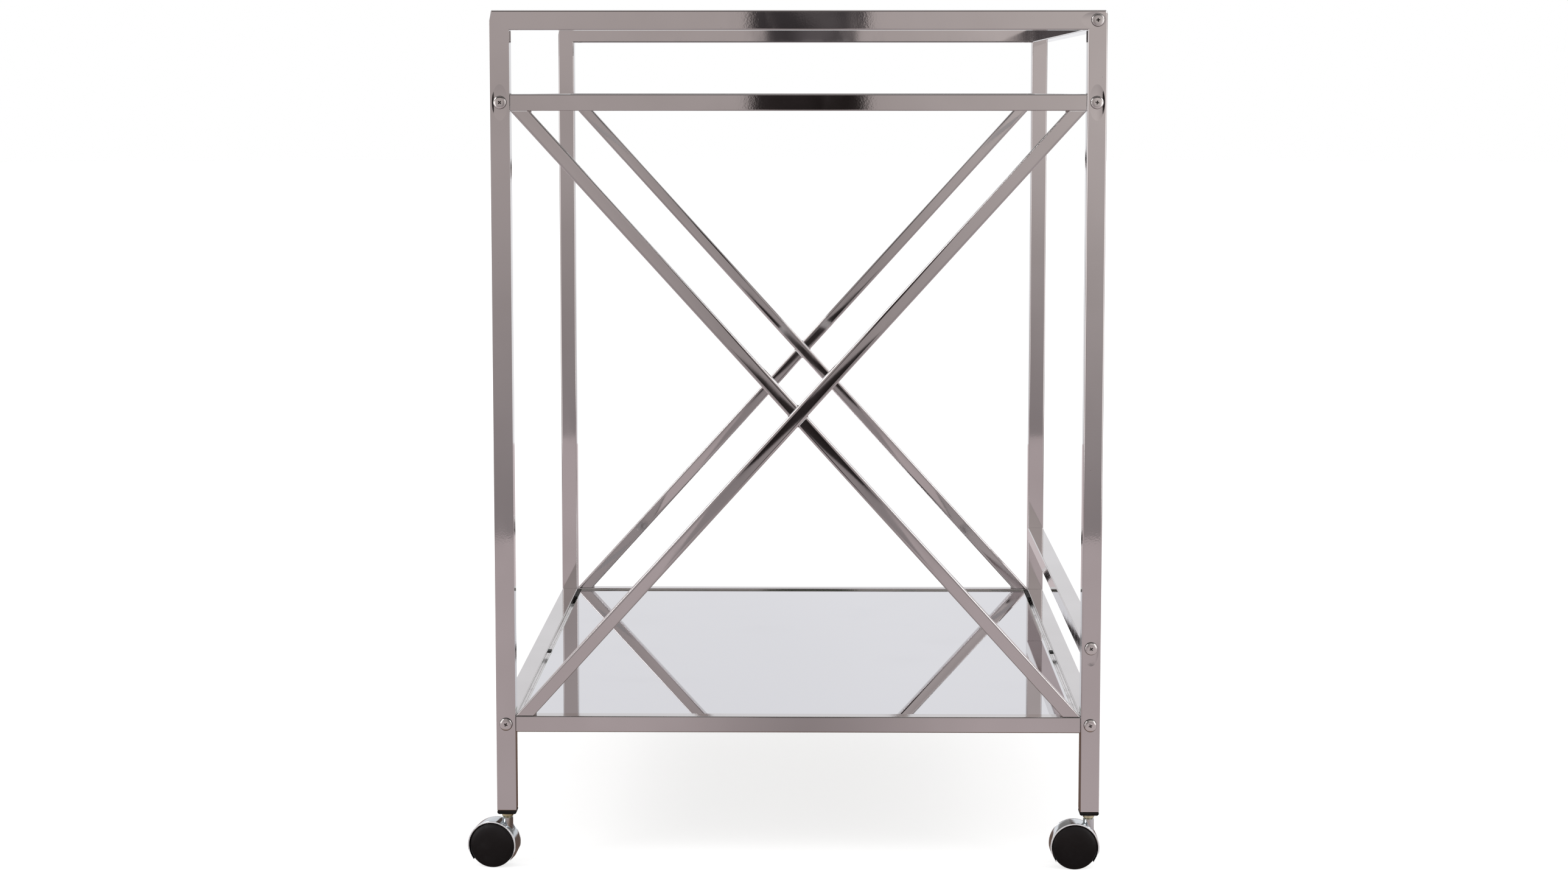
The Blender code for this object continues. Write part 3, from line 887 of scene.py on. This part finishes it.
def make_stem(looks, name, matrix, body):
    """The yellow collar over the post, and the pin that goes up into the foot plug."""
    pin_top, pin_foot = COLLAR_TOP + PIN_RISE, POST_TOP - PIN_DEPTH
    collar_foot = POST_TOP + COLLAR_FOOT
    inset, rise = COLLAR_CHAMFER
    profile = [
        (0, pin_top), (PIN_RADIUS, pin_top), (PIN_RADIUS, COLLAR_TOP),
        (COLLAR_RADIUS - COLLAR_EDGE, COLLAR_TOP), (COLLAR_RADIUS, COLLAR_TOP - COLLAR_EDGE),
        (COLLAR_RADIUS, collar_foot + rise), (COLLAR_RADIUS - inset, collar_foot),
        (PIN_NECK_RADIUS, collar_foot), (PIN_NECK_RADIUS, pin_foot), (0, pin_foot),
    ]
    stem = piece(f"{name}_collar", turned(profile), looks["zinc"])
    placed(smoothed(stem, degrees=30), matrix, body, "stem_zinc", name)


def wheel_profile(inner, outer):
    """(radius, distance from the hood's web) of a wheel: hub, ribbed back, tread, domed face."""
    back = [(share * WHEEL_RADIUS, inner + rise) for share, rise in WHEEL_BACK]
    return back + [(share * WHEEL_RADIUS, outer - drop) for share, drop in WHEEL_FACE]


def make_wheel(looks, node, matrix, end):
    """One of a caster's two wheels, on the side of the hood that end says."""
    inverse = matrix.inverted()
    reach = [(inverse @ v.co).x * end for v in frame["nodes"][node].data.vertices]
    profile = wheel_profile(min(reach), max(reach))
    wheel = piece(f"{node}_disc", turned(profile, WHEEL_STEPS), looks["wheel"])
    axle = Matrix.Translation((0, -TRAIL, WHEEL_RADIUS)) @ Matrix.Rotation(end * QUARTER, 4, "Y")
    placed(smoothed(wheel, degrees=40), matrix @ axle, node, "wheel_plastic", node)


def make_plug(looks, corner, x, y):
    """The flange of the black plug in a foot, the size of the tube and with soft edges."""
    name = f"foot_plug_{corner}"
    low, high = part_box(name)
    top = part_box(corner.replace("_", "_leg_"))[0].z - BRACE_GAP
    half = (high.x - low.x) / 2
    sections = [(half - inset, low.z + rise) for inset, rise in PLUG_CHAMFER] + [(half, top)]
    rings = [
        [(x + sx * size, y + sy * size, z) for sx, sy in ((-1, -1), (1, -1), (1, 1), (-1, 1))]
        for size, z in sections
    ]
    plug = piece(f"{name}_flange", lofted(rings), looks["plug"])
    rounded(plug, PLUG_ROUND, segments=3)
    on_frame(plug, "plug_plastic", name)


def make_caster(looks, corner):
    """Everything of one caster, from the places and axes of its joints."""
    joints = {joint["name"]: joint for joint in frame["joints"]}
    x, y, _ = joints[f"swivel_{corner}"]["pos_m"]
    axis = joints[f"roll_right_{corner}"]["axis"]
    matrix = Matrix.Translation((x, y, 0)) @ Matrix.Rotation(math.atan2(axis[1], axis[0]), 4, "Z")
    body = f"caster_{corner}"
    make_plug(looks, corner, x, y)
    make_hood(looks, f"hood_{corner}", matrix, body)
    make_stem(looks, f"stem_{corner}", matrix, body)
    for which, end in SIDES:
        make_wheel(looks, f"wheel_{which}_{corner}", matrix, end)
    axle = frame["nodes"][f"axle_{corner}"]
    axle.data.materials.clear()
    axle.data.materials.append(looks["bolt"])


# ----------------------------------------------------------------------- studio


def glow(name):
    """A material that only shines, and the X, Y and Z of the place on it."""
    made = Material(
        name, Base_Color=(0, 0, 0, 1), Specular_IOR_Level=0.0, Roughness=1.0, Emission_Strength=1.0
    )
    made.material.cycles.emission_sampling = "NONE"
    place = made.tree.nodes.new("ShaderNodeNewGeometry").outputs["Position"]
    split = made.tree.nodes.new("ShaderNodeSeparateXYZ")
    made.tree.links.new(place, split.inputs["Vector"])
    return made, split.outputs


def make_sheet(name, corners, material):
    """A flat sheet that only reflections see."""
    bm = bmesh.new()
    bm.faces.new([bm.verts.new(corner) for corner in corners])
    obj = piece(name, bm, material)
    obj.visible_camera = False
    obj.visible_diffuse = False
    obj.visible_transmission = False
    obj.visible_volume_scatter = False
    obj.visible_shadow = False


def make_photographers_wall(corners):
    """The wall behind the camera, which the cart's near end shows.

    It is brighter upwards and to the right and dark near the ceiling, with a lamp panel at each
    side and someone dark standing before it.
    """
    made, place = glow("wall_right")
    across = made.ranged(place["Y"], 0.02, 0.60, 0, 1)
    high = made.mixed(across, (0.612, 0.552, 0.543), (0.775, 0.712, 0.696))
    rise = made.ranged(place["Z"], -0.25, 1.0, -0.15, 1)
    tone = made.mixed(rise, (0.375, 0.338, 0.346), high)
    upper = made.ranged(place["Z"], 0.78, 0.92, 0, 1)
    patches = made.ranged(made.noise(9, 3), 0.42, 0.66, 0, 1)
    dim = made.mixed(upper, (0.022, 0.018, 0.0175), (0.065, 0.058, 0.062))
    lit = made.mixed(upper, (0.034, 0.028, 0.028), (0.15, 0.135, 0.14))
    away = made.away(place["Y"], SOMEONE_Y)
    slim = made.calculated("ADD", away, made.ranged(place["Z"], 0.35, 0.65, 0.035, 0))
    someone = made.product(
        made.ranged(slim, 0.088, 0.112, 1, 0), made.ranged(place["Z"], 1.0, 1.1, 1, 0)
    )
    lamps = made.product(
        made.ranged(away, 1.10, 1.30, 0, 1), made.ranged(place["Z"], *LAMP_TOP, 1, 0)
    )
    shown = made.mixed(someone, tone, made.mixed(patches, dim, lit))
    above = made.ranged(place["Z"], 1.45, 1.75, 0, 1)
    lower = made.mixed(lamps, shown, LAMP_GLOW)
    made.wire("Emission Color", made.mixed(above, lower, DARK_GLOW))
    make_sheet("wall_right", corners, made.material)


def make_side_wall(name, corners):
    """A grey wall beside the cart, with a dark stripe and a lamp panel at its end by the camera."""
    made, place = glow(name)
    up = made.ranged(place["Z"], 0.0, 0.6, 0, 1)
    grey = made.mixed(up, (0.42, 0.39, 0.39), (0.68, 0.65, 0.65))
    stripe = made.band(place["X"], 0.12, 0.05, 0.08)
    lamp = made.product(
        made.ranged(place["X"], 1.0, 1.3, 0, 1), made.ranged(place["Z"], *LAMP_TOP, 1, 0)
    )
    toned = made.mixed(stripe, grey, (0.10, 0.09, 0.09))
    made.wire("Emission Color", made.mixed(lamp, toned, LAMP_GLOW))
    make_sheet(name, corners, made.material)


def around_cart(made, place, beyond, soft):
    """1 under the cart and as far beyond it as (x, y) says, falling to 0 over the soft edges."""
    parts = []
    for axis, low, high, more, edge in zip("XY", *cad_box, beyond, soft):
        parts.append(made.band(place[axis], (low + high) / 2, (high - low) / 2 + more, edge))
    return made.product(*parts)


def make_paper_reflection(corners):
    """The floor as the plating shows it.

    It is pale round about, with a painted shadow under the cart, a warm ring round that shadow,
    and darker towards the camera.
    """
    made, place = glow("paper_with_painted_shadow_seen_in_plating")
    # painted shadow of the cart on the floor that the plating reflects
    under = around_cart(made, place, (0.07, 0.05), (0.13, 0.13))
    # a dark band in line with the dark figure, darker towards the camera
    legs = made.product(
        made.band(place["Y"], SOMEONE_Y, 0.0, 0.22), made.ranged(place["X"], 0.45, 0.8, 0, 0.36)
    )
    ring = around_cart(made, place, (0.14, 0.02), (0.08, 0.06))
    pale = made.mixed(legs, (0.635, 0.560, 0.570), (0.05, 0.045, 0.045))
    warm = made.mixed(ring, pale, (0.40, 0.25, 0.16))
    made.wire("Emission Color", made.mixed(under, warm, (0.145, 0.098, 0.080)))
    make_sheet("paper_reflection", corners, made.material)


def make_backdrop(corners):
    """The bright backdrop behind the cart."""
    made, _ = glow("wall_left")
    tone = made.mixed(made.noise(1.2, 2), (0.84, 0.84, 0.86), (0.91, 0.91, 0.93))
    made.wire("Emission Color", tone)
    make_sheet("wall_left", corners, made.material)


def make_ceiling(corners):
    """A light ceiling that turns dark over the camera."""
    made, place = glow("ceiling")
    lit = made.mixed(made.noise(1.5, 2), (0.62, 0.60, 0.60), (0.72, 0.70, 0.70))
    behind = made.ranged(place["X"], 0.95, 1.35, 0, 1)
    made.wire("Emission Color", made.mixed(behind, lit, DARK_GLOW))
    make_sheet("ceiling", corners, made.material)


def make_room():
    """Four walls, a ceiling and a paper floor for the plating to reflect."""
    (x0, x1), (y0, y1), z1 = ROOM_X, ROOM_Y, ROOM_HEIGHT
    make_photographers_wall([(x1, y0, 0), (x1, y1, 0), (x1, y1, z1), (x1, y0, z1)])
    make_side_wall("wall_front", [(x0, y0, 0), (x1, y0, 0), (x1, y0, z1), (x0, y0, z1)])
    make_side_wall("wall_back", [(x0, y1, 0), (x1, y1, 0), (x1, y1, z1), (x0, y1, z1)])
    make_backdrop([(x0, y0, 0), (x0, y1, 0), (x0, y1, z1), (x0, y0, z1)])
    make_ceiling([(x0, y0, z1), (x1, y0, z1), (x1, y1, z1), (x0, y1, z1)])
    make_paper_reflection([(x0, y0, 0), (x1, y0, 0), (x1, y1, 0), (x0, y1, 0)])


def make_floor():
    """White paper, lit enough that the shadows on it stay faint."""
    bm = bmesh.new()
    bmesh.ops.create_circle(bm, cap_ends=True, segments=FLOOR_SIDES, radius=FLOOR_RADIUS)
    made = Material("floor_paper", Emission_Color=(1, 1, 1, 1), Emission_Strength=0.72)
    made.wire("Base Color", made.mixed(made.noise(3, 4), (0.40, 0.40, 0.40), (0.43, 0.43, 0.43)))
    made.wire("Roughness", made.ranged(made.noise(8, 3), 0.3, 0.7, 0.85, 0.95))
    made.material.cycles.emission_sampling = "NONE"
    floor = piece("floor", bm, made.material)
    floor.visible_glossy = False


def make_light(name, place, size, power):
    """A soft square light that looks at the cart's middle."""
    data = bpy.data.lights.new(name, "AREA")
    data.size = size
    data.energy = power
    light = bpy.data.objects.new(name, data)
    bpy.context.scene.collection.objects.link(light)
    light.location = place
    look = Vector(LIGHT_AIM) - Vector(place)
    light.rotation_mode = "QUATERNION"
    light.rotation_quaternion = look.to_track_quat("-Z", "Y")
    light.visible_camera = False


def make_studio():
    """White surroundings, the floor, the room that reflections see and two soft lights."""
    world = bpy.data.worlds.new("studio")
    world.use_nodes = True
    world.node_tree.nodes["Background"].inputs["Color"].default_value = (1, 1, 1, 1)
    world.node_tree.nodes["Background"].inputs["Strength"].default_value = 1.0
    bpy.context.scene.world = world
    bpy.context.scene.view_settings.view_transform = "Standard"
    make_floor()
    make_room()
    make_light("key", (1.8, -2.2, 2.2), 1.2, 30)
    make_light("fill", (1.6, 2.2, 1.8), 1.2, 20)


def make_camera():
    """The camera at the right end, looking along -X and a little down."""
    data = bpy.data.cameras.new("camera")
    data.lens = CAMERA_LENS_MM
    data.shift_y = CAMERA_SHIFT_Y
    camera = bpy.data.objects.new("camera", data)
    bpy.context.scene.collection.objects.link(camera)
    camera.location = CAMERA_PLACE
    level = math.cos(CAMERA_PITCH)
    along, across = -math.cos(CAMERA_TURN) * level, math.sin(CAMERA_TURN) * level
    look = Vector((along, across, -math.sin(CAMERA_PITCH)))
    camera.rotation_mode = "QUATERNION"
    camera.rotation_quaternion = look.to_track_quat("-Z", "Y")
    bpy.context.scene.camera = camera


def main():
    """Makes the studio, then the cart from its end frames to its bolts."""
    make_camera()
    make_studio()
    looks = make_materials()
    for side, end in SIDES:
        make_end_frame(looks, side, end)
        make_bar(looks, f"upper_cross_rail_{side}")
        make_bar(looks, f"lower_cross_rail_{side}")
        make_braces(looks, side, end)
        for facing, _ in FACINGS:
            make_caster(looks, f"{facing}_{side}")
    make_bar(looks, "back_top_rail")
    make_bar(looks, "back_guard_rail")
    for level in LEVELS:
        for facing, sign in FACINGS:
            make_shelf_rail(looks, facing, sign, level)
        make_pane(looks, level)
        make_spacers(looks, level)
    for number, node in enumerate(bolt_nodes()):
        make_bolt_head(looks, node, number)


main()
